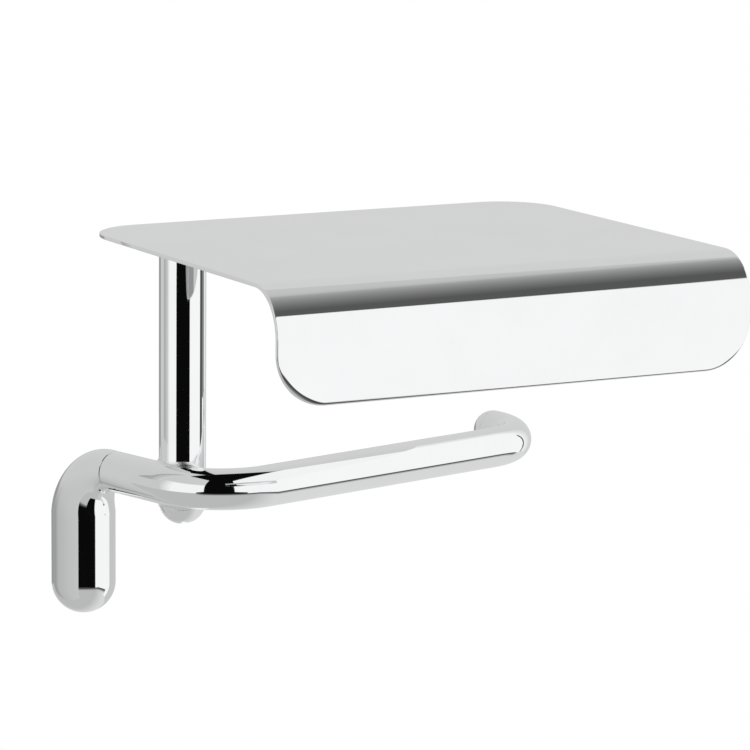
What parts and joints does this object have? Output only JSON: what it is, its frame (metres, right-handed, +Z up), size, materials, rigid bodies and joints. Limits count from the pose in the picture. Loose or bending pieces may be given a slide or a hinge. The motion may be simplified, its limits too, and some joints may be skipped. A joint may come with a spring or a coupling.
{
  "type": "toilet paper holder",
  "caption": "Chromed wall-mounted toilet paper holder: a bent tube bar on a pill-shaped wall body, with a rounded sheet cover that swivels on an upright post.",
  "frame": {"origin": "middle of the flat face that rests on the wall, between the two fixing holes of the wall bracket", "axes": "+Z up, +Y into the wall, +X along the wall towards the free end of the roll bar"},
  "size_m": [0.1882, 0.1864, 0.1267],
  "materials": {
    "chrome": "polished chrome plate",
    "zinc": "zinc plated, dull",
    "steel": "plain stainless",
    "brass": "turned",
    "acetal": "natural acetal",
    "nylon": "natural nylon"
  },
  "bodies": {
    "holder": {"wall_body": "chrome", "wall_bracket": "zinc", "foot_screw": "steel", "arm_lock_screw": "steel", "arm_insert": "brass", "arm_stud": "steel", "roll_bar": "chrome", "bar_end_cap": "chrome", "post_tube": "chrome", "dome_cap": "chrome", "pivot_bush": "acetal", "swivel_washer": "nylon"},
    "cover": {"cover_plate": "chrome", "cover_hub": "chrome", "pivot_pin": "steel", "pin_washer": "steel", "pin_spring": "steel", "pin_nut": "steel", "stop_pin": "steel"}
  },
  "joints": [
    {"name": "cover_swivel", "type": "hinge", "parent": "holder", "child": "cover", "pos_m": [0.0065, -0.049, 0.099], "axis": [0, 0, 1], "range_deg": [-76.5, 13.5]}
  ]
}
